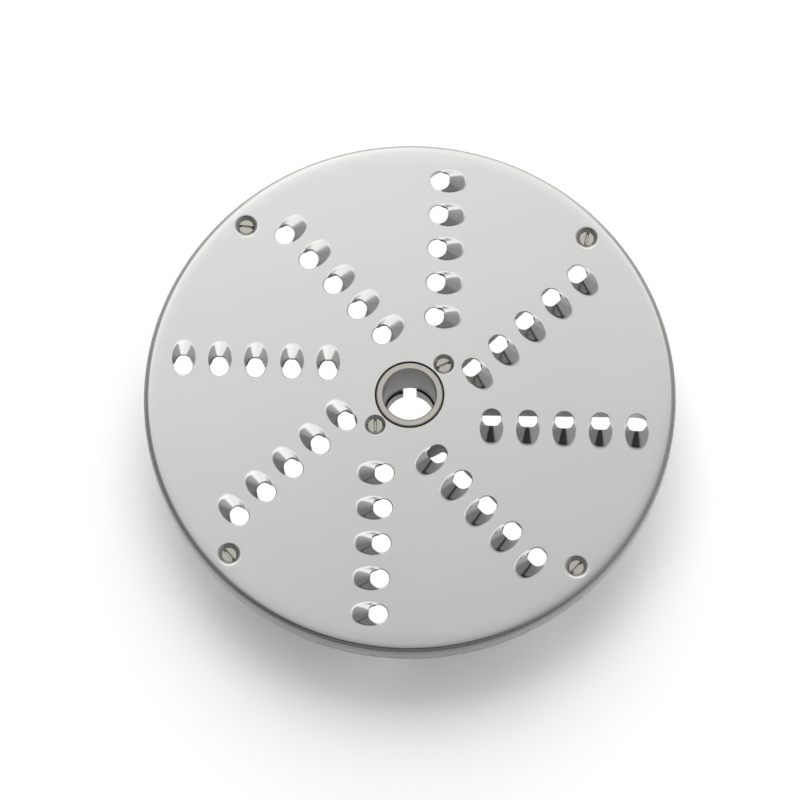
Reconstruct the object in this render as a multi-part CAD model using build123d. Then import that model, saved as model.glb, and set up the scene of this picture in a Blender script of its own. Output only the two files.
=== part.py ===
from build123d import *
from math import atan2, cos, radians, sin, sqrt, tan
import os

# Grating disc of a vegetable cutter: a pressed steel face on a cast spoked wheel,
# with a turned drive bush in the middle. It stands on the foot of the bush at z = 0.
# All sizes are in millimetres.

# Pressed sheet
disc_diameter = 205.6
face_height = 33.0
sheet_thickness = 1.0
edge_radius = 2.3
skirt_depth = 9.5
hub_hole_clearance = 0.6

# Teeth: rows lie beside the ribs, and every second row starts half a pitch nearer the hub
row_count = 8
teeth_per_row = 5
first_tooth_distance = 32.0
row_end_inset = 14.8
row_setback = 8.2
opening_diameter = 7.5
hood_length = 6.45
hood_width = 9.4
hood_height = 2.7
hood_taper = 35.0

# Cast wheel under the sheet
skirt_clearance = 0.3
rim_width = 5.2
rim_depth = 11.0
rib_width = 5.0
rib_root_depth = 16.5
boss_radius = 22.0
boss_depth = 20.0
rim_corner_radius = 8.0
boss_corner_radius = 2.0

# Drive bush
bush_radius = 12.9
bush_wall = 2.7
bore_step = 0.7
bush_proud = 0.3
collar_height = 9.0
bush_chamfer = 0.4
drive_slot_width = 5.2
drive_slot_angle = 93.0
ramp_drop = 4.3
ramp_run = 6.5
ramp_wall = 0.9

# Countersunk slotted screws, all with 90 degree heads
screw_head_diameter = 5.8
screw_shank_diameter = 3.0
screw_length = 9.0
screw_hole_clearance = 0.25
seat_diameter = 7.9
seat_depth = 2.6
screw_slot_width = 0.9
screw_slot_depth = 0.8
rim_screw_inset = 8.8
hub_screw_radius = 18.0
rim_screw_slots = {45: 80, 135: -5, 225: -47, 315: 51}
hub_screw_slots = {45: 28, 225: 92}

disc_radius = disc_diameter / 2
sheet_bottom = face_height - sheet_thickness
rib_angle = 360 / row_count
tooth_pitch = (disc_radius - row_end_inset - first_tooth_distance) / (teeth_per_row - 1)
rim_radius = disc_radius - sheet_thickness - skirt_clearance
rim_inner_radius = rim_radius - rim_width
rim_screw_radius = disc_radius - rim_screw_inset
hub_hole_radius = bush_radius + hub_hole_clearance
upper_bore_radius = bush_radius - bush_wall
shaft_bore_radius = upper_bore_radius - bore_step
ramp_radius = bush_radius - ramp_wall


def turned(points):
    # a closed outline of (radius, height) points, turned about the vertical axis
    outline = Polyline(*[(r, 0, z) for r, z in points], close=True)
    return revolve(make_face(outline), Axis.Z)


def at_polar(shape, radius, angle):
    return Rot(0, 0, angle) * Pos(radius, 0, 0) * shape


def pressed_pan():
    # flat face, rounded edge and skirt, as one section of even thickness
    inner_radius = edge_radius - sheet_thickness
    bend_radius = disc_radius - edge_radius
    bend_height = face_height - edge_radius
    skirt_end = face_height - skirt_depth
    skirt_inside = disc_radius - sheet_thickness
    slope = sqrt(0.5)
    outside = ThreePointArc(
        (bend_radius, 0, face_height),
        (bend_radius + edge_radius * slope, 0, bend_height + edge_radius * slope),
        (disc_radius, 0, bend_height),
    )
    inside = ThreePointArc(
        (skirt_inside, 0, bend_height),
        (bend_radius + inner_radius * slope, 0, bend_height + inner_radius * slope),
        (bend_radius, 0, sheet_bottom),
    )
    lower = Polyline((disc_radius, 0, bend_height), (disc_radius, 0, skirt_end),
                     (skirt_inside, 0, skirt_end), (skirt_inside, 0, bend_height))
    upper = Polyline((bend_radius, 0, sheet_bottom), (hub_hole_radius, 0, sheet_bottom),
                     (hub_hole_radius, 0, face_height), (bend_radius, 0, face_height))
    return revolve(make_face([outside, lower, inside, upper]), Axis.Z)


def hood_form(offset):
    # cone on its side, widening to the back: its upper line falls from the lip to the face,
    # and a form with an offset lies inside the first one by that wall thickness
    taper = radians(hood_taper)
    fall = atan2(hood_height, hood_length)
    lean = fall + taper
    below = hood_height * cos(lean)
    swell = hood_height * sin(lean) * tan(taper)
    # radius abreast of the lip that makes the hood hood_width wide where it meets the face
    lip_radius = ((hood_width / 2) ** 2 + below ** 2 - swell ** 2) / (2 * (below + swell))
    reach = (hood_height + 3 * sheet_thickness) * cos(taper) / sin(fall)
    back = (cos(lean), 0, -sin(lean))
    foot = Vector(opening_diameter / 2 - lip_radius * sin(lean), 0,
                  face_height + hood_height - lip_radius * cos(lean))
    base_radius = lip_radius + reach * tan(taper) - offset / cos(taper)
    cone = Cone(base_radius, 0, base_radius / tan(taper),
                align=(Align.CENTER, Align.CENTER, Align.MIN))
    form = Plane(foot + Vector(*back) * reach, z_dir=-Vector(*back)) * cone
    # only what lies behind the opening's middle, down to the offset below the sheet
    side = 4 * hood_width
    room = Box(side, side, side, align=(Align.MIN, Align.CENTER, Align.MIN))
    return form & Pos(0, 0, sheet_bottom - offset) * room


def tooth_places():
    # x runs back along the tooth from its opening, and y runs out along the row
    for row in range(row_count):
        start = first_tooth_distance - tooth_pitch / 2 * (row % 2)
        for step in range(teeth_per_row):
            row_turn = Rot(0, 0, -row * rib_angle)
            yield row_turn * Pos(row_setback, start + step * tooth_pitch, 0)


def countersink(mouth_radius, top, bottom):
    # 90 degree cone, mouth_radius wide at the top height
    depth = top - bottom
    return Pos(0, 0, bottom) * Cone(mouth_radius - depth, mouth_radius, depth,
                                    align=(Align.CENTER, Align.CENTER, Align.MIN))


def drilled(radius, top, bottom):
    return Pos(0, 0, bottom) * Cylinder(radius, top - bottom,
                                        align=(Align.CENTER, Align.CENTER, Align.MIN))


seat_radius = seat_diameter / 2
shank_radius = screw_shank_diameter / 2
screw_hole_radius = shank_radius + screw_hole_clearance
seat_bottom = face_height - seat_depth
dish_radius = seat_radius + sheet_thickness * (sqrt(2) - 1)
screw_places = [(rim_screw_radius, angle) for angle in rim_screw_slots]
screw_places += [(hub_screw_radius, angle) for angle in hub_screw_slots]


def grating_plate():
    plate = pressed_pan()
    dish = countersink(dish_radius, sheet_bottom, seat_bottom)
    mouth_bottom = face_height - (seat_radius - screw_hole_radius)
    mouth = countersink(seat_radius, face_height, mouth_bottom)
    mouth += drilled(screw_hole_radius, face_height, seat_bottom)
    plate += [at_polar(dish, *place) for place in screw_places]
    plate -= [at_polar(mouth, *place) for place in screw_places]

    hood = hood_form(0)
    hollow = hood_form(sheet_thickness)
    hollow += Pos(0, 0, face_height) * Cylinder(opening_diameter / 2, 4 * hood_width)
    plate += [place * hood for place in tooth_places()]
    plate -= [place * hollow for place in tooth_places()]
    return plate


def support_wheel():
    rim_bottom = face_height - rim_depth
    boss_bottom = face_height - boss_depth
    body = turned([
        (bush_radius, sheet_bottom), (rim_radius, sheet_bottom), (rim_radius, rim_bottom),
        (rim_inner_radius, rim_bottom), (boss_radius, face_height - rib_root_depth),
        (boss_radius, boss_bottom), (bush_radius, boss_bottom),
    ])
    # the casting clears the bend of the sheet's edge
    body = chamfer(body.edges().group_by(Axis.Z)[-1].sort_by(SortBy.RADIUS)[-1:], edge_radius)

    pocket = Circle(rim_inner_radius) - Circle(boss_radius)
    for row in range(row_count // 2):
        pocket -= Rot(0, 0, row * rib_angle) * Rectangle(2 * disc_radius, rib_width)
    corners = pocket.vertices().group_by(lambda v: round(v.center().length, 1))
    pocket = fillet(corners[-1], rim_corner_radius)
    corners = pocket.vertices().group_by(lambda v: round(v.center().length, 1))
    pocket = fillet(corners[0], boss_corner_radius)
    wheel = body - Pos(0, 0, boss_bottom) * extrude(pocket, boss_depth)

    dish = countersink(dish_radius, sheet_bottom, seat_bottom)
    dish += drilled(shank_radius, seat_bottom, 0)
    return wheel - [at_polar(dish, *place) for place in screw_places]


def drive_bush():
    top = face_height + bush_proud
    cut = bush_chamfer
    bush = turned([
        (shaft_bore_radius + cut, 0), (bush_radius - cut, 0), (bush_radius, cut),
        (bush_radius, top - cut), (bush_radius - cut, top), (upper_bore_radius + cut, top),
        (upper_bore_radius, top - cut), (upper_bore_radius, collar_height),
        (shaft_bore_radius, collar_height - bore_step), (shaft_bore_radius, cut),
    ])
    base = (Align.CENTER, Align.CENTER, Align.MIN)
    slot = Box(3 * bush_radius, drive_slot_width, collar_height, align=base)

    # beside each end of the slot a ramp rises, which draws the disc down on the shaft's pin
    edge = drive_slot_width / 2
    wedge = make_face(Polyline(
        (0, edge, collar_height), (0, edge, collar_height - ramp_drop),
        (0, edge + ramp_run, collar_height), close=True,
    ))
    ramp = extrude(wedge, ramp_radius, dir=(1, 0, 0)) & Cylinder(ramp_radius, 4 * collar_height)
    cuts = [slot, ramp, Rot(0, 0, 180) * ramp]
    return bush - [Rot(0, 0, drive_slot_angle) * shape for shape in cuts]


def slotted_screw(slot_turn):
    head_radius = screw_head_diameter / 2
    head_top = face_height - (seat_radius - head_radius)
    neck = head_top - (head_radius - shank_radius)
    screw = countersink(head_radius, head_top, neck)
    screw += drilled(shank_radius, neck, head_top - screw_length)
    groove = Box(screw_head_diameter * 2, screw_slot_width, 2 * screw_slot_depth)
    return screw - Pos(0, 0, head_top) * Rot(0, 0, slot_turn) * groove


def screw_set(radius, slots):
    screws = []
    for angle, slot_turn in slots.items():
        screws.append(at_polar(slotted_screw(slot_turn - angle), radius, angle))
    return Compound(screws)


os.makedirs("parts", exist_ok=True)
export_step(grating_plate(), "parts/grating_plate.step")
export_step(support_wheel(), "parts/support_wheel.step")
export_step(drive_bush(), "parts/drive_bush.step")
export_step(screw_set(rim_screw_radius, rim_screw_slots), "parts/rim_screws.step")
export_step(screw_set(hub_screw_radius, hub_screw_slots), "parts/hub_screws.step")
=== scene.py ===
import math
import bpy
import numpy as np
from mathutils import Matrix, Vector
from mathutils.geometry import delaunay_2d_cdt


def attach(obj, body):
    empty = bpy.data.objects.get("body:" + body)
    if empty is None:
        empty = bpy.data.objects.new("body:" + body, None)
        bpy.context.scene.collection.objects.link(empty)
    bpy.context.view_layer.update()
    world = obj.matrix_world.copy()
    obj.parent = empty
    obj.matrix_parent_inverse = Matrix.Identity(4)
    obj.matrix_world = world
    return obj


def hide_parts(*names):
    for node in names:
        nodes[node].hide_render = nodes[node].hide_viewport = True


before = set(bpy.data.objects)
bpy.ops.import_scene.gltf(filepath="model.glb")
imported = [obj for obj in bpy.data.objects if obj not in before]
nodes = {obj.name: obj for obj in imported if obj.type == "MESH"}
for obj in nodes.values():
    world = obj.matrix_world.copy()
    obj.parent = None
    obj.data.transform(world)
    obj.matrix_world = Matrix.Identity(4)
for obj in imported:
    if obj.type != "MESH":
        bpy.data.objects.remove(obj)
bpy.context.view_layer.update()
mm = 0.001
print("frame loaded:", ", ".join(sorted(nodes)))


class Wire:
    # one output socket; operators on it add Math nodes, and node() adds any other node
    def __init__(self, tree, socket=None):
        self.tree = tree
        self.socket = socket

    def node(self, kind, settings=None, inputs=None, output=0):
        made = self.tree.nodes.new(kind)
        for key, value in (settings or {}).items():
            setattr(made, key, value)
        for key, value in (inputs or {}).items():
            if isinstance(value, Wire):
                self.tree.links.new(value.socket, made.inputs[key])
            else:
                made.inputs[key].default_value = value
        return Wire(self.tree, made.outputs[output])

    def math(self, operation, *values):
        return self.node("ShaderNodeMath", {"operation": operation}, dict(enumerate(values)))

    def __add__(self, other): return self.math("ADD", self, other)
    def __radd__(self, other): return self.math("ADD", other, self)
    def __sub__(self, other): return self.math("SUBTRACT", self, other)
    def __rsub__(self, other): return self.math("SUBTRACT", other, self)
    def __mul__(self, other): return self.math("MULTIPLY", self, other)
    def __rmul__(self, other): return self.math("MULTIPLY", other, self)

    def step(self, low, high):
        # smooth step from 0 at low to 1 at high
        return self.node("ShaderNodeMapRange", {"interpolation_type": "SMOOTHSTEP"},
                         {"Value": self, "From Min": low, "From Max": high})

    def length(self):
        return self.node("ShaderNodeVectorMath", {"operation": "LENGTH"}, {0: self}, "Value")

    def flat(self):
        # the same place with its height left out
        return self.node("ShaderNodeVectorMath", {"operation": "MULTIPLY"}, {0: self, 1: (1.0, 1.0, 0.0)})

    def away(self, middle):
        # distance of a value from a middle, without its sign
        return self.math("ABSOLUTE", self - middle)

    def dot(self, vector):
        return self.node("ShaderNodeVectorMath", {"operation": "DOT_PRODUCT"},
                         {0: self, 1: tuple(vector)}, "Value")

    def blend(self, dark, light):
        # colour mixed by this value
        return self.node("ShaderNodeMix", {"data_type": "RGBA"}, {0: self, 6: dark, 7: light}, 2)

    def noise(self, coordinates, scale, detail=3.0, roughness=0.5):
        return self.node("ShaderNodeTexNoise", None, {
            "Vector": coordinates, "Scale": scale, "Detail": detail, "Roughness": roughness})

    def bump(self, strength, distance):
        return self.node("ShaderNodeBump", None, {"Strength": strength, "Distance": distance, "Height": self})

    def to(self, shader, name):
        self.tree.links.new(self.socket, shader.inputs[name])


def newFinish(name):
    finish = bpy.data.materials.new(name)
    finish.use_nodes = True
    wire = Wire(finish.node_tree)
    place = wire.node("ShaderNodeTexCoord", None, None, "Object")
    return finish, finish.node_tree.nodes["Principled BSDF"], wire, place


# Camera, as the photograph was taken: lengths in millimetres from the middle of the disc's face
shot = {
    "focalPixels": 4988.55,
    "imagePixels": 800,
    "distance": 1925.46,
    "elevation": 72.693,
    "roll": 1.936,
    "aimRight": -3.769,
    "aimBack": -2.067,
    "faceHeight": 33.0,
    "turn": 4.167,
}
turn = math.radians(shot["turn"])
rightWay = Vector((math.cos(turn), math.sin(turn), 0.0))
backWay = Vector((-math.sin(turn), math.cos(turn), 0.0))
upWay = Vector((0.0, 0.0, 1.0))
tilt = math.radians(shot["elevation"])
lookWay = backWay * math.cos(tilt) - upWay * math.sin(tilt)
frameUp = rightWay.cross(lookWay)
roll = math.radians(shot["roll"])
cameraX = rightWay * math.cos(roll) - frameUp * math.sin(roll)
cameraY = rightWay * math.sin(roll) + frameUp * math.cos(roll)
aim = rightWay * shot["aimRight"] + backWay * shot["aimBack"] + upWay * shot["faceHeight"]
cameraPlace = (aim - lookWay * shot["distance"]) * mm
camera = bpy.data.objects.new("camera", bpy.data.cameras.new("camera"))
bpy.context.scene.collection.objects.link(camera)
camera.data.sensor_width = 36.0
camera.data.lens = 36.0 * shot["focalPixels"] / shot["imagePixels"]
camera.data.clip_end = 50.0
turned = Matrix((cameraX, cameraY, -lookWay)).transposed().to_4x4()
camera.matrix_world = Matrix.Translation(cameraPlace) @ turned
bpy.context.scene.camera = camera
bpy.context.scene.view_settings.view_transform = "Standard"


# Studio round the disc: a grey room, a white panel overhead, a white wall behind, a dark stand in front
studio = {
    "roomFront": 0.235,
    "roomRight": 0.13,
    "roomRightWay": (0.6, 0.8),
    "roomRightEdge": (-0.35, 0.15),
    "roomBack": 0.12,
    "roomBackEdge": (0.1, 0.6),
    "panelBase": 0.36,
    "panelNear": 0.12,
    "panelNearEdge": (0.13, -0.16),
    "panelFar": 0.73,
    "panelFarEdge": (-0.245, -0.37),
    "panelSide": (0.51, 0.345),
    "panelMiddle": 0.044,
    "panelLeft": 0.24,
    "panelLeftEdge": (0.07, -0.07),
    "panelLeftFront": (-0.1, -0.3),
    "wall": 1.26,
    "wallHeight": (0.58, 0.35),
    "wallSide": (0.64, 0.42),
    "wallMiddle": 0.07,
    "stand": 0.86,
    "standEdge": (0.13, 0.24),
    "standEnd": (0.62, 0.50),
    "standSide": (0.38, 0.26),
    "standMiddle": -0.087,
    "arm": 0.5,
    "armSlope": 1.126,
    "armPlace": 0.045,
    "armWidth": (0.2, 0.07),
    "armReach": (-0.3, -0.42, -0.78, -0.95),
    "lowDark": 0.3,
    "lowFront": (-0.3, -0.55),
    "lowEdge": (0.32, 0.18),
    "tint": (1.0, 1.0, 0.985, 1.0),
    "lampPower": 1.7,
    "lampSize": 0.9,
    "lampWay": (0.0, 0.5, 0.866),
    "lampDistance": 1.6,
}


def makeStudio():
    # brightness by direction: front is the angle from the zenith towards the camera's side, side the
    # angle to the right of the vertical plane through the camera, fromBack the angle from the back wall
    world = bpy.data.worlds.new("studio")
    bpy.context.scene.world = world
    world.use_nodes = True
    tree = world.node_tree
    tree.nodes.clear()
    wire = Wire(tree)
    way = wire.node("ShaderNodeTexCoord", None, None, "Generated")
    x = way.dot(rightWay)
    y = way.dot(backWay)
    z = way.dot(upWay)
    front = wire.math("ARCTAN2", y * -1.0, z)
    side = wire.math("ARCSINE", x)
    fromBack = wire.math("ARCTAN2", x, y)

    # room: darkest in front and on the left, lightest behind
    right, back = studio["roomRightWay"]
    light = studio["roomFront"] + studio["roomRight"] * (x * right + y * back).step(*studio["roomRightEdge"])
    light = light + studio["roomBack"] * y.step(*studio["roomBackEdge"])

    # panel: a step at its near edge and another, over the disc, that shades the flat sheet
    near = front.step(*studio["panelNearEdge"])
    left = side.step(*studio["panelLeftEdge"]) * front.step(*studio["panelLeftFront"])
    panel = studio["panelNear"] * near + studio["panelFar"] * front.step(*studio["panelFarEdge"])
    panel = studio["panelBase"] + panel + studio["panelLeft"] * left
    within = side.away(studio["panelMiddle"]).step(*studio["panelSide"]) * near
    light = light + (panel - light) * within

    # wall: white up to its top, and as wide as it stands behind the disc
    wall = z.step(*studio["wallHeight"]) * fromBack.away(studio["wallMiddle"]).step(*studio["wallSide"])
    light = light + (studio["wall"] - light) * wall

    # stand and its arm that reaches down to the left, and the dark low front of the room
    stand = front.step(*studio["standEdge"]) * front.step(*studio["standEnd"])
    stand = stand * side.away(studio["standMiddle"]).step(*studio["standSide"])
    arm = (front + side * studio["armSlope"]).away(studio["armPlace"]).step(*studio["armWidth"])
    arm = arm * side.step(*studio["armReach"][:2]) * side.step(*studio["armReach"][:1:-1])
    low = y.step(*studio["lowFront"]) * z.step(*studio["lowEdge"])
    light = light * (1.0 - studio["stand"] * stand) * (1.0 - studio["arm"] * arm)
    light = light * (1.0 - studio["lowDark"] * low)
    lit = wire.node("ShaderNodeBackground", None, {"Color": studio["tint"], "Strength": light})
    lit.to(tree.nodes.new("ShaderNodeOutputWorld"), "Surface")


def makeLamp():
    # soft lamp over the far side of the disc, which casts the shadow towards the camera
    lamp = bpy.data.objects.new("softLamp", bpy.data.lights.new("softLamp", "AREA"))
    bpy.context.scene.collection.objects.link(lamp)
    lamp.data.energy = studio["lampPower"]
    lamp.data.size = studio["lampSize"]
    x, y, z = studio["lampWay"]
    way = rightWay * x + backWay * y + upWay * z
    turned = way.to_track_quat("Z", "Y").to_matrix().to_4x4()
    lamp.matrix_world = Matrix.Translation(way * studio["lampDistance"]) @ turned
    lamp.visible_glossy = False


makeStudio()
makeLamp()
print("camera and studio made")


# Pressed sheet and its teeth, in millimetres: u runs back from a tooth's opening, v along its row
sheet = {
    "radius": 102.8,
    "edgeRadius": 2.3,
    "skirtDepth": 9.5,
    "skirtLevels": (0.5, 0.75, 0.97),
    "skirtChamfer": 0.15,
    "bendSteps": 12,
    "bendPolish": (0.1, 0.4),
    # painted dark reflections along the rounded edge and skirt, ring by ring; they also make the steel
    # rougher there
    "bendDullShade": (0, 0, 0, 0.1, 0.3, 0.6, 0.9, 1, 1, 1, 0.9, 0.8, 0.5, 0.5, 0.6, 0.9),
    "rollStart": 98.5,
    "roll": 0.012,
    "thickness": 1.0,
    "face": 33.0,
    "hubHole": 13.5,
    "flatRadius": 99.4,
    "around": 256,
    "hubAround": 120,
    "fillStep": 3.2,
    "fillMargin": 1.2,
}
tooth = {
    "rows": 8,
    "perRow": 5,
    "pitch": 14.0,
    "first": 32.0,
    "setback": 8.43,
    "opening": 3.83,
    "halfWidth": 4.45,
    "square": 1.5,
    "join": 1.8,
    "crown": 2.65,
    "crownPlace": 3.2,
    "backReach": 6.7,
    "frontReach": 5.0,
    "lipSquare": 0.6,
    "foot": 0.28,
    "edgeRound": 0.22,
    "edgeThinness": 0.35,
    "polishEdge": 0.12,
    "patch": (3.6, 9.4, 6.4, 2.4),
    "patchClear": 1.0,
    "rays": 48,
    "rayCrowding": 0.38,
    "rings": (0.0, 0.025, 0.07, 0.16, 0.30, 0.45, 0.60, 0.74, 0.86, 0.94, 1.0),
    "skirtRings": (0.06, 0.14, 0.25, 0.4, 0.6, 0.8, 1.0),
}
seat = {
    "radius": 3.95,
    "hole": 1.75,
    "rimSoft": 0.7,
    "hubSoft": 0.2,
    "rimRadius": 94.0,
    "hubRadius": 18.0,
    "rimAngles": (45, 135, 225, 315),
    "hubAngles": (45, 225),
    "rimPatch": 4.9,
    "hubPatch": 4.35,
    # painted shade in the screws' seats, which also makes them rougher
    "dullShade": 0.4,
    "maskEdge": 0.2,
    "polish": 0.6,
    "rays": 40,
    "dishRings": 4,
    "shoulderRings": 8,
}


def toothFrames():
    # middle of each opening, and the back and out directions of its tooth
    row = np.repeat(np.arange(tooth["rows"]), tooth["perRow"])
    place = np.tile(np.arange(tooth["perRow"]), tooth["rows"])
    angle = -2 * np.pi / tooth["rows"] * row
    back = np.stack([np.cos(angle), np.sin(angle)], -1)
    out = np.stack([-np.sin(angle), np.cos(angle)], -1)
    distance = tooth["first"] + tooth["pitch"] * (place - 0.5 * (row % 2))
    return back * tooth["setback"] + out * distance[:, None], back, out


def hoodLevel(u, v):
    # height of the hood over the face: crown (1 - (b^k + a^k)^(1/k) - f), where b is the distance behind
    # the crown over its reach, a the distance from the middle line over the half width, raised to a power,
    # f the squared distance before the crown over its reach and k joins the slopes with a rounded hip
    t = u - tooth["crownPlace"]
    behind = np.maximum(t, 0) / tooth["backReach"]
    before = (np.maximum(-t, 0) / tooth["frontReach"]) ** 2
    across = (np.abs(v) / tooth["halfWidth"]) ** tooth["square"]
    k = tooth["join"]
    return tooth["crown"] * (1 - (behind ** k + across ** k) ** (1 / k) - before)


def shoulderDepth(level, width):
    # level below its shoulder, 0 above it, joined by a parabola as wide as the shoulder on each side
    return np.where(level > width, level, np.maximum(level + width, 0) ** 2 / (4 * width))


def seatPlaces():
    angles = np.radians(seat["rimAngles"] + seat["hubAngles"])
    rim = np.full(len(seat["rimAngles"]), seat["rimRadius"])
    hub = np.full(len(seat["hubAngles"]), seat["hubRadius"])
    reach = np.concatenate([rim, hub])
    patch = np.concatenate([rim * 0 + seat["rimPatch"], hub * 0 + seat["hubPatch"]])
    shoulder = np.concatenate([rim * 0 + seat["rimSoft"], hub * 0 + seat["hubSoft"]])
    return np.stack([np.cos(angles), np.sin(angles)], -1) * reach[:, None], patch, shoulder


toothMiddle, toothBack, toothOut = toothFrames()
seatMiddle, seatPatch, seatSoft = seatPlaces()


def sheetSurface(points):
    # height over the face at plan points: hoods with a hollow foot and a rounded front edge, less the dished
    # seats and the roll, which grows with the square of the distance past its start; also how polished a
    # point is and how far it lies on a seat, both from 0 to 1
    away = points[:, None, :] - toothMiddle[None]
    u = np.sum(away * toothBack[None], -1)
    v = np.sum(away * toothOut[None], -1)
    level = hoodLevel(u, v)
    reach = np.hypot(u, v)
    edge = np.clip(1 - (reach - tooth["opening"]) / tooth["edgeRound"], 0, 1)
    rounded = tooth["edgeRound"] * (1 - np.sqrt(1 - edge * edge)) * (reach > tooth["opening"] - 0.01)
    rounded = rounded * np.clip(-u / tooth["opening"] + 0.2, 0, 1)  # before the opening only
    height = np.sum(shoulderDepth(level, tooth["foot"]) - rounded, -1)
    dish = seat["radius"] - np.linalg.norm(points[:, None, :] - seatMiddle[None], axis=-1)
    height = height - np.sum(shoulderDepth(dish, seatSoft[None]), -1)
    past = np.maximum(np.linalg.norm(points, axis=-1) - sheet["rollStart"], 0)
    height = height - sheet["roll"] * past ** 2
    onHood = np.clip(np.max(level, -1) / tooth["polishEdge"] + 1, 0, 1)
    onSeat = np.clip(np.max(dish, -1) / seat["maskEdge"] + 1, 0, 1)
    return height, np.maximum(onHood, seat["polish"] * onSeat), onSeat


def openingReach(angle):
    # radius of the opening in each direction: a circle before, a little squarer under the lip
    n = 2 + tooth["lipSquare"] * np.clip(np.cos(angle), 0, 1)
    return tooth["opening"] * (np.abs(np.cos(angle)) ** n + np.abs(np.sin(angle)) ** n) ** (-1 / n)


def footReach(angle):
    # distance from the opening's middle to the foot of the hood in each direction, by halving, and a
    # little more than the opening where there is no hood
    low = openingReach(angle)
    high = np.full(angle.shape, 12.5)
    for _ in range(40):
        half = 0.5 * (low + high)
        inside = hoodLevel(half * np.cos(angle), half * np.sin(angle)) > 0
        low, high = np.where(inside, half, low), np.where(inside, high, half)
    return np.maximum(low, openingReach(angle) + 0.7)


def patchReach(angle):
    # distance from the opening's middle to an oval round the whole tooth, by halving
    middle, long, wide, square = tooth["patch"]
    low, high = np.zeros(angle.shape), np.full(angle.shape, 14.0)
    for _ in range(40):
        half = 0.5 * (low + high)
        u, v = half * np.cos(angle) - middle, half * np.sin(angle)
        inside = np.abs(u / long) ** square + np.abs(v / wide) ** square < 1
        low, high = np.where(inside, half, low), np.where(inside, high, half)
    return low


def toothGrid():
    # rings of points from the opening's edge out to the oval, closer together behind the opening
    t = np.arange(tooth["rays"]) / tooth["rays"] * 2 * np.pi
    angle = t - tooth["rayCrowding"] * np.sin(t)
    foot, oval = footReach(angle), patchReach(angle)
    inner = np.array(tooth["rings"])[:, None]
    outer = np.array(tooth["skirtRings"])[:, None]
    lip = openingReach(angle)
    reach = np.concatenate([lip + inner * (foot - lip), foot + outer * (oval - foot)])
    return reach * np.cos(angle), reach * np.sin(angle)


def ringFaces(start, rings, rays):
    # quads between neighbouring rings of a closed grid whose points start at an index
    i, j = np.meshgrid(np.arange(rings - 1), np.arange(rays), indexing="ij")
    k = (j + 1) % rays
    quads = np.stack([i * rays + j, (i + 1) * rays + j, (i + 1) * rays + k, i * rays + k], -1)
    return quads.reshape(-1, 4) + start


def circle(radius, count):
    t = np.arange(count) / count * 2 * np.pi
    return np.stack([radius * np.cos(t), radius * np.sin(t)], -1)


def loopEdges(start, count):
    k = np.arange(count)
    return np.stack([start + k, start + (k + 1) % count], -1)


def meshPiece(name, points, quads, triangles, smooth=True):
    mesh = bpy.data.meshes.new(name)
    faces = [*quads.tolist(), *triangles.tolist()]
    mesh.from_pydata((points * mm).tolist(), [], faces)
    mesh.polygons.foreach_set("use_smooth", np.full(len(faces), smooth))
    mesh.update()
    piece = bpy.data.objects.new(name, mesh)
    bpy.context.scene.collection.objects.link(piece)
    return piece


def sharpenLoops(mesh, loops):
    # edges that lie on one of the cut loops are shaded sharp
    owner = np.full(len(mesh.vertices), -1)
    for k, (start, size) in enumerate(loops):
        owner[start:start + size] = k
    ends = np.empty(2 * len(mesh.edges), np.int32)
    mesh.edges.foreach_get("vertices", ends)
    ends = owner[ends.reshape(-1, 2)]
    mesh.edges.foreach_set("use_edge_sharp", (ends[:, 0] >= 0) & (ends[:, 0] == ends[:, 1]))


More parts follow.
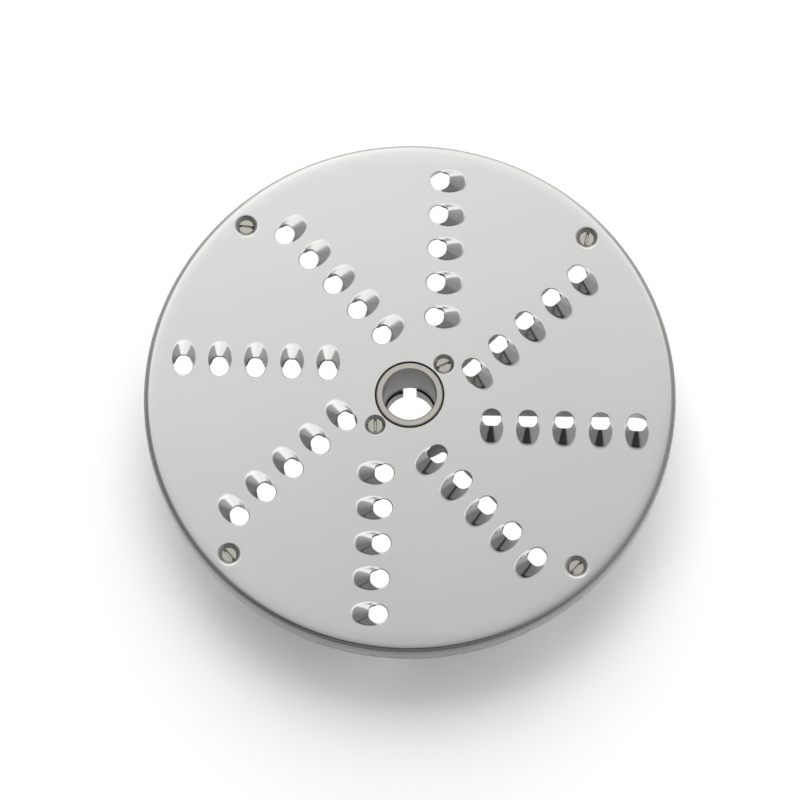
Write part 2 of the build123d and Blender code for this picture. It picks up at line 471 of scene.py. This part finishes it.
def makeSheet():
    plan, quads, loops, edgeLoops = [], [], [], []
    count = 0
    u, v = toothGrid()
    rings, rays = u.shape
    for middle, back, out in zip(toothMiddle, toothBack, toothOut):
        grid = middle + u[..., None] * back + v[..., None] * out
        plan.append(grid.reshape(-1, 2))
        quads.append(ringFaces(count, rings, rays))
        edgeLoops.append((count, rays))
        loops.append((count + (rings - 1) * rays, rays))
        count += rings * rays
    for middle, patch, soft in zip(seatMiddle, seatPatch, seatSoft):
        # rings stand closest on the shoulder, and the last one is on the flat
        low, high = seat["radius"] - soft, seat["radius"] + soft
        reach = np.concatenate([np.linspace(seat["hole"], low, seat["dishRings"]),
                                np.linspace(low, high, seat["shoulderRings"])[1:], [patch]])
        grid = middle + reach[:, None, None] * circle(1.0, seat["rays"])[None]
        plan.append(grid.reshape(-1, 2))
        quads.append(ringFaces(count, len(reach), seat["rays"]))
        edgeLoops.append((count, seat["rays"]))
        loops.append((count + (len(reach) - 1) * seat["rays"], seat["rays"]))
        count += len(reach) * seat["rays"]
    for radius, around in ((sheet["hubHole"], sheet["hubAround"]), (sheet["flatRadius"], sheet["around"])):
        plan.append(circle(radius, around))
        loops.append((count, around))
        count += around

    # loose points that fill the flat between the patches
    step = sheet["fillStep"]
    reach = int(sheet["radius"] / step) + 2
    i, j = np.meshgrid(np.arange(-reach, reach + 1), np.arange(-reach, reach + 1), indexing="ij")
    fill = np.stack([(i + 0.5 * (j % 2)) * step, j * step * math.sqrt(0.75)], -1).reshape(-1, 2)
    radius = np.linalg.norm(fill, axis=-1)
    away = fill[:, None, :] - toothMiddle[None]
    middle, long, wide, square = tooth["patch"]
    margin = sheet["fillMargin"]
    across = np.abs(np.sum(away * toothOut[None], -1)) / (wide + tooth["patchClear"])
    along = np.abs(np.sum(away * toothBack[None], -1) - middle) / (long + tooth["patchClear"])
    clear = np.min(across ** square + along ** square, -1) > 1
    clear &= np.all(np.linalg.norm(fill[:, None] - seatMiddle[None], axis=-1) > seatPatch + margin, -1)
    clear &= (radius < sheet["flatRadius"] - margin) & (radius > sheet["hubHole"] + margin)
    plan.append(fill[clear])
    plan = np.concatenate(plan)

    # triangles of the flat: those with all corners on one loop lie inside it and are left out
    loopOf = np.full(len(plan), -1)
    edges = []
    for k, (start, size) in enumerate(loops):
        loopOf[start:start + size] = k
        edges.append(loopEdges(start, size))
    used = np.concatenate([np.flatnonzero(loopOf >= 0), np.arange(count, len(plan))])
    newIndex = np.full(len(plan), -1)
    newIndex[used] = np.arange(len(used))
    edges = newIndex[np.concatenate(edges)]
    made = delaunay_2d_cdt([Vector(p) for p in plan[used].tolist()], edges.tolist(), [], 0, 1e-6)
    origin = np.array([source[0] for source in made[3]])
    triangles = used[origin[np.array(made[2])]]
    owner = loopOf[triangles]
    flat = ~((owner[:, 0] >= 0) & (owner[:, 0] == owner[:, 1]) & (owner[:, 1] == owner[:, 2])
             & (owner[:, 0] != len(loops) - 1))
    triangles = triangles[flat]

    height, polish, onSeat = sheetSurface(plan)
    points = np.column_stack([plan, height + sheet["face"]])

    # rounded edge and skirt: a profile carried round the axis from the last loop outwards; the bend is an
    # arc that leaves the roll along its slope
    r, e = sheet["radius"], sheet["edgeRadius"]
    first = math.atan(2 * sheet["roll"] * (r - e - sheet["rollStart"]))
    bendStart = r - e + e * math.sin(first)
    drop = sheet["roll"] * (bendStart - sheet["rollStart"]) ** 2 + e * math.cos(first)
    bend = np.linspace(first, math.pi / 2, sheet["bendSteps"])
    profile = [(r - e + e * math.sin(b), sheet["face"] - drop + e * math.cos(b)) for b in bend]
    profile += [(r, sheet["face"] - sheet["skirtDepth"] * s) for s in sheet["skirtLevels"]]
    profile += [(r - sheet["skirtChamfer"], sheet["face"] - sheet["skirtDepth"])]
    profile = np.array(profile)
    ring = circle(1.0, sheet["around"])
    band = np.concatenate([profile[:, None, :1] * ring[None],
                           np.broadcast_to(profile[:, None, 1:], (len(profile), len(ring), 1))], -1)
    lastLoop = loops[-1][0]
    start = len(points)
    points = np.concatenate([points, band.reshape(-1, 3)])
    edgeLoops += [loops[-2], (len(points) - sheet["around"], sheet["around"])]
    quads.append(ringFaces(start, len(profile), sheet["around"]))
    k = np.arange(sheet["around"])
    n = (k + 1) % sheet["around"]
    quads.append(np.stack([lastLoop + k, start + k, start + n, lastLoop + n], -1))
    bendPolish = np.linspace(*sheet["bendPolish"], len(profile))
    polish = np.concatenate([polish, np.repeat(bendPolish, sheet["around"])])
    # painted shade in the seats and painted dark reflections on the bend and skirt, kept as an attribute
    dullShade = np.concatenate([seat["dullShade"] * onSeat, np.repeat(sheet["bendDullShade"], sheet["around"])])

    piece = meshPiece("pressedSheet", points, np.concatenate(quads), triangles)
    sharpenLoops(piece.data, edgeLoops)
    for name, values in (("polish", polish), ("dullShade", dullShade)):
        layer = piece.data.attributes.new(name, "FLOAT", "POINT")
        layer.data.foreach_set("value", values.astype(np.float32))

    # wall below the sheet's upper face, drawn thin at the edges of the teeth's openings
    thick = np.ones(len(points), bool)
    for start, size in edgeLoops[:len(toothMiddle)]:
        thick[start:start + size] = False
    piece.vertex_groups.new(name="thick").add(np.flatnonzero(thick).tolist(), 1.0, "REPLACE")
    wall = piece.modifiers.new("thickness", "SOLIDIFY")
    wall.vertex_group = "thick"
    wall.thickness_vertex_group = tooth["edgeThinness"]
    wall.thickness = sheet["thickness"] * mm
    wall.offset = -1.0
    wall.use_even_offset = True
    print("sheet points", len(points), "top triangles", 2 * sum(len(q) for q in quads) + len(triangles))
    return piece


sheetLook = {
    "dark": (0.655, 0.655, 0.648, 1.0),
    "light": (0.695, 0.695, 0.69, 1.0),
    # colour of the painted shade and painted dark reflections
    "dullShade": (0.24, 0.24, 0.235, 1.0),
    "cloudScale": 22.0,
    "grainScale": 900.0,
    "rough": 0.23,
    "unevenRough": 0.03,
    "polishRough": 0.09,
    "dullRough": 0.1,
    "bump": 0.02,
    "bumpDistance": 0.0002,
}


def sheetFinish():
    # satin steel with faint clouds and grain, smoother where it is polished, and rougher and darker where
    # painted dark reflections lie on the bend and skirt and painted shade in the screws' seats
    finish, shader, wire, place = newFinish("satinSheet")
    polish = wire.node("ShaderNodeAttribute", {"attribute_name": "polish"}, None, "Fac")
    dullShade = wire.node("ShaderNodeAttribute", {"attribute_name": "dullShade"}, None, "Fac")
    grain = wire.noise(place, sheetLook["grainScale"], 4.0)
    cloud = wire.noise(place, sheetLook["cloudScale"], 3.0)
    rough = sheetLook["rough"] + sheetLook["unevenRough"] * (cloud + grain - 1.0)
    rough = rough - sheetLook["polishRough"] * polish + sheetLook["dullRough"] * dullShade
    rough.to(shader, "Roughness")
    plain = cloud.blend(sheetLook["dark"], sheetLook["light"])
    # painted shade and dark reflections darken the colour where the attribute is high
    dullShade.blend(plain, sheetLook["dullShade"]).to(shader, "Base Color")
    shader.inputs["Metallic"].default_value = 1.0
    grain.bump(sheetLook["bump"], sheetLook["bumpDistance"]).to(shader, "Normal")
    return finish


sheetPiece = makeSheet()
sheetPiece.data.materials.append(sheetFinish())
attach(sheetPiece, "root")
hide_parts("grating_plate")
print("sheet made")


castLook = {
    "dark": (0.72, 0.72, 0.715, 1.0),
    "light": (0.82, 0.82, 0.815, 1.0),
    # painted shade on the casting close round the bush, seen in the gap between the bush and the sheet
    "gapShade": (0.06, 0.06, 0.055, 1.0),
    "gapShadeReach": (0.0148, 0.0142),
    "gapShadeHeight": (0.028, 0.030),
    "pitScale": 2600.0,
    "blotchScale": 60.0,
    "rough": 0.46,
    "blotchRough": 0.12,
    "bump": 0.1,
    "bumpDistance": 0.0002,
}
turnedLook = {
    "wearScale": 300.0,
    "wobble": 0.0001,
    "rough": 0.28,
    "wearRough": 0.10,
    "bump": 0.05,
    "bumpDistance": 0.0001,
}
bushLook = {
    "dark": (0.515, 0.493, 0.46, 1.0),
    "light": (0.585, 0.565, 0.526, 1.0),
    "pitch": 0.16,
    # painted shade inside the bush's bore: a darker colour for its wall
    "boreShade": (0.205, 0.202, 0.193, 1.0),
    "boreReach": (0.0106, 0.0103),
    "boreHeight": (0.0331, 0.0325),
    "boreRough": 0.12,
}
screwLook = {
    "dark": (0.50, 0.488, 0.435, 1.0),
    "light": (0.59, 0.578, 0.525, 1.0),
    "pitch": 0.12,
}


def castFinish():
    # blasted casting: fine pits and slight blotches, with painted shade that darkens the gap round the bush
    finish, shader, wire, place = newFinish("blastedCasting")
    pits = wire.noise(place, castLook["pitScale"], 3.0, 0.6)
    blotch = wire.noise(place, castLook["blotchScale"], 3.0)
    metal = blotch.blend(castLook["dark"], castLook["light"])
    # painted shade: the wheel's top next to the bush, where the gap gets little light, is drawn dark
    gapShade = place.flat().length().step(*castLook["gapShadeReach"])
    gapShade = gapShade * place.dot(upWay).step(*castLook["gapShadeHeight"])
    gapShade.blend(metal, castLook["gapShade"]).to(shader, "Base Color")
    (castLook["rough"] + castLook["blotchRough"] * blotch).to(shader, "Roughness")
    shader.inputs["Metallic"].default_value = 1.0
    pits.bump(castLook["bump"], castLook["bumpDistance"]).to(shader, "Normal")
    return finish


def turnedFinish(name, look):
    # lathe marks: rings at a fixed pitch about the disc's axis, broken up by noise; a bore is rougher, and
    # darker by painted shade
    finish, shader, wire, place = newFinish(name)
    reach = place.flat().length()
    height = place.dot(upWay)
    wear = wire.noise(place, turnedLook["wearScale"], 4.0, 0.6)
    phase = (reach + height + turnedLook["wobble"] * wear) * (2 * math.pi / (look["pitch"] * mm))
    metal = wear.blend(look["dark"], look["light"])
    rough = turnedLook["rough"] + turnedLook["wearRough"] * wear
    if "boreShade" in look:
        # painted shade: the bore's wall is drawn darker below its top
        inside = reach.step(*look["boreReach"]) * height.step(*look["boreHeight"])
        metal = inside.blend(metal, look["boreShade"])
        rough = rough + look["boreRough"] * inside
    metal.to(shader, "Base Color")
    rough.to(shader, "Roughness")
    shader.inputs["Metallic"].default_value = 1.0
    relief = wire.math("SINE", phase) * 0.5 + wear
    relief.bump(turnedLook["bump"], turnedLook["bumpDistance"]).to(shader, "Normal")
    return finish


def dressNode(node, finish):
    mesh = nodes[node].data
    mesh.materials.clear()
    mesh.materials.append(finish)


dressNode("support_wheel", castFinish())
dressNode("drive_bush", turnedFinish("turnedBush", bushLook))
print("wheel and bush dressed")


# Slotted screws: a countersunk head with rounded edges, sunk a little in its seat
screw = {
    "head": 2.9,
    "shank": 1.5,
    "slot": 0.45,
    "slotDepth": 0.8,
    "length": 9.0,
    "sunk": 1.05,
    "round": 0.26,
    "roundSteps": 4,
    "roundFrom": 40,
    "steps": 28,
    "rimSlots": {45: 80, 135: -5, 225: -47, 315: 51},
    "hubSlots": {45: 28, 225: 92},
}


def halfRing(radius, depth):
    # points of both halves of a circle, left and right of the slot, at a depth below the head's top
    first = math.asin(screw["slot"] / radius)
    t = np.linspace(first, math.pi - first, screw["steps"])
    t = np.concatenate([t, t + math.pi])
    return np.column_stack([radius * np.cos(t), radius * np.sin(t), np.full(len(t), -depth)])


def screwMesh():
    # rings from the head's top down to the shank's end; the slot is left open between the halves
    n = screw["steps"]
    depth = screw["slotDepth"]
    neck = screw["head"] - screw["shank"]
    rings = [halfRing(screw["head"], 0), halfRing(screw["head"] - depth, depth),
             halfRing(screw["shank"], neck), halfRing(screw["shank"], screw["length"])]  # 2 n points each
    points = np.concatenate(rings)
    faces = [list(range(n)), list(range(n, 2 * n))]
    k = np.arange(n - 1)
    for half in (k, k + n):
        faces += np.stack([half, half + 2 * n, half + 2 * n + 1, half + 1], -1).tolist()
    faces += [[n - 1, 3 * n - 1, 2 * n, 0], [2 * n - 1, 4 * n - 1, 3 * n, n],
              [2 * n, 3 * n - 1, 3 * n, 4 * n - 1]]
    k = np.arange(2 * n)
    after = (k + 1) % (2 * n)
    for start in (2 * n, 4 * n):
        faces += np.stack([start + k, start + 2 * n + k, start + 2 * n + after, start + after], -1).tolist()
    faces.append(list(range(8 * n - 1, 6 * n - 1, -1)))
    return points, faces


def makeScrews(name, node, radius, slots):
    # one mesh with a screw at each angle, its slot turned as in the photograph
    points, faces = screwMesh()
    allPoints, allFaces = [], []
    for k, (angle, slotTurn) in enumerate(slots.items()):
        c, d = math.cos(math.radians(slotTurn)), math.sin(math.radians(slotTurn))
        turned = points @ np.array([[c, d, 0], [-d, c, 0], [0, 0, 1]])
        a = math.radians(angle)
        place = [radius * math.cos(a), radius * math.sin(a), sheet["face"] - screw["sunk"]]
        allPoints.append(turned + place)
        allFaces += [[i + k * len(points) for i in face] for face in faces]
    mesh = bpy.data.meshes.new(name)
    mesh.from_pydata((np.concatenate(allPoints) * mm).tolist(), [], allFaces)
    mesh.polygons.foreach_set("use_smooth", np.full(len(allFaces), True))
    mesh.update()
    piece = bpy.data.objects.new(name, mesh)
    bpy.context.scene.collection.objects.link(piece)
    bevel = piece.modifiers.new("edges", "BEVEL")
    bevel.width = screw["round"] * mm
    bevel.segments = screw["roundSteps"]
    bevel.limit_method = "ANGLE"
    bevel.angle_limit = math.radians(screw["roundFrom"])
    bevel.harden_normals = True
    piece.data.materials.append(screwSteel)
    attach(piece, "root")
    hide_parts(node)


screwSteel = turnedFinish("turnedScrews", screwLook)
makeScrews("rimScrews", "rim_screws", seat["rimRadius"], screw["rimSlots"])
makeScrews("hubScrews", "hub_screws", seat["hubRadius"], screw["hubSlots"])
print("screws made")


# Floor: white where it is lit, with the disc's shadow, deepened by a painted shadow under the disc; white
# patches show through the openings
floorLook = {
    "size": 6.0,
    "seenAlbedo": 1.98,
    "plainAlbedo": 0.8,
    # painted shadow on the floor under the disc, seen by the camera and by metal
    "underShadowAlbedo": 0.5,
    "underShadowReach": (0.07, 0.1),
    "patchMargin": 0.13,
    "patchHeights": (15.7, 21.2),
    "patchRadii": (22.0, 96.0),
    "boreRadius": 9.8,
    "slotTurn": 93.0,
    "slotReach": 12.0,
    "slotSize": (5.0, 3.6),
    "slotSquare": 0.25,
    "borePatchHeight": 0.2,
    "boreEdgeHeight": 0.1,
    "patchGloss": 0.1,
}


def seenRays(wire, gloss):
    # 1 for what the camera or glass sees, and gloss for what metal shows of it
    path = wire.node("ShaderNodeLightPath", None, None, "Is Camera Ray")
    glossy = Wire(wire.tree, path.socket.node.outputs["Is Glossy Ray"])
    through = Wire(wire.tree, path.socket.node.outputs["Is Transmission Ray"])
    return wire.math("MAXIMUM", wire.math("MAXIMUM", path, glossy * gloss), through)


def stageFinish(name):
    finish = bpy.data.materials.new(name)
    finish.use_nodes = True
    finish.node_tree.nodes.clear()
    return finish, Wire(finish.node_tree)


def grey(value):
    return (value, value, value, 1.0)


def makeFloor():
    # square floor with a painted shadow that darkens it under the disc, and of a plain albedo for the light
    # that it sends back
    half = floorLook["size"] / 2 / mm
    corners = np.array([(-half, -half, 0), (half, -half, 0), (half, half, 0), (-half, half, 0)])
    floor = meshPiece("floor", corners, np.array([[0, 1, 2, 3]]), np.zeros((0, 3), int), False)
    finish, wire = stageFinish("floorWhite")
    place = wire.node("ShaderNodeTexCoord", None, None, "Object")
    # painted shadow: a darker albedo within the disc's reach
    outside = place.length().step(*floorLook["underShadowReach"])
    bright = outside.blend(grey(floorLook["underShadowAlbedo"]), grey(floorLook["seenAlbedo"]))
    plain = wire.node("ShaderNodeBsdfDiffuse", None, {"Color": grey(floorLook["plainAlbedo"])})
    shown = wire.node("ShaderNodeBsdfDiffuse", None, {"Color": bright})
    mixed = wire.node("ShaderNodeMixShader", None, {0: seenRays(wire, 1.0), 1: plain, 2: shown})
    mixed.to(wire.tree.nodes.new("ShaderNodeOutputMaterial"), "Surface")
    floor.data.materials.append(finish)


def addPatches(name, outlines, gloss):
    # white faces that neither light the disc nor shade it; gloss says how strongly metal shows them
    count, rays = outlines.shape[:2]
    faces = np.arange(count * rays).reshape(count, rays)
    patches = meshPiece(name, outlines.reshape(-1, 3), faces, np.zeros((0, 3), int), False)
    finish, wire = stageFinish(name)
    glow = wire.node("ShaderNodeEmission", None, {"Color": grey(1.0), "Strength": 1.0})
    clear = wire.node("ShaderNodeBsdfTransparent")
    mixed = wire.node("ShaderNodeMixShader", None, {0: seenRays(wire, gloss), 1: clear, 2: glow})
    mixed.to(wire.tree.nodes.new("ShaderNodeOutputMaterial"), "Surface")
    patches.data.materials.append(finish)


def boreOutlines(rays):
    # lower ends of the bush's bore, a circle, and of its slot, a squared oval turned to its place
    height = np.full((rays, 1), floorLook["boreEdgeHeight"])
    boreShade = np.hstack([circle(floorLook["boreRadius"], rays), height])
    unit = circle(1.0, rays)
    slot = np.sign(unit) * np.abs(unit) ** floorLook["slotSquare"] * np.array(floorLook["slotSize"])
    a = math.radians(floorLook["slotTurn"])
    along = np.array([math.cos(a), math.sin(a)])
    slot = slot @ np.array([along, (-along[1], along[0])]) + floorLook["slotReach"] * along
    return np.stack([boreShade, np.hstack([slot, height])])


def makeLightPatches():
    # each opening's edge, seen from the camera and cast on a shallow cone just under the ribs, drawn in
    # a little; the patches of the bore and its slot lie on the floor
    u, v = toothGrid()
    rays = u.shape[1]
    edge = u[0][None, :, None] * toothBack[:, None, :] + v[0][None, :, None] * toothOut[:, None, :]
    edge = (edge + toothMiddle[:, None, :]).reshape(-1, 2)
    height = sheetSurface(edge)[0] + sheet["face"]
    points = np.column_stack([edge, height]).reshape(len(toothMiddle), rays, 3)
    points = np.concatenate([points, boreOutlines(rays)])
    radius = np.linalg.norm(toothMiddle, axis=-1)
    level = np.interp(radius, floorLook["patchRadii"], floorLook["patchHeights"])
    level = np.append(level, [floorLook["borePatchHeight"]] * 2)[:, None, None]
    eye = np.array(cameraPlace) / mm
    reach = (level - eye[2]) / (points[..., 2:] - eye[2])
    cast = eye + (points - eye) * reach
    away = cast - cast.mean(1, keepdims=True)
    cast = cast - away / np.linalg.norm(away, axis=-1, keepdims=True) * floorLook["patchMargin"]
    addPatches("toothPatches", cast[:-2], floorLook["patchGloss"])
    addPatches("borePatches", cast[-2:], 1.0)


makeFloor()
makeLightPatches()
print("floor made")
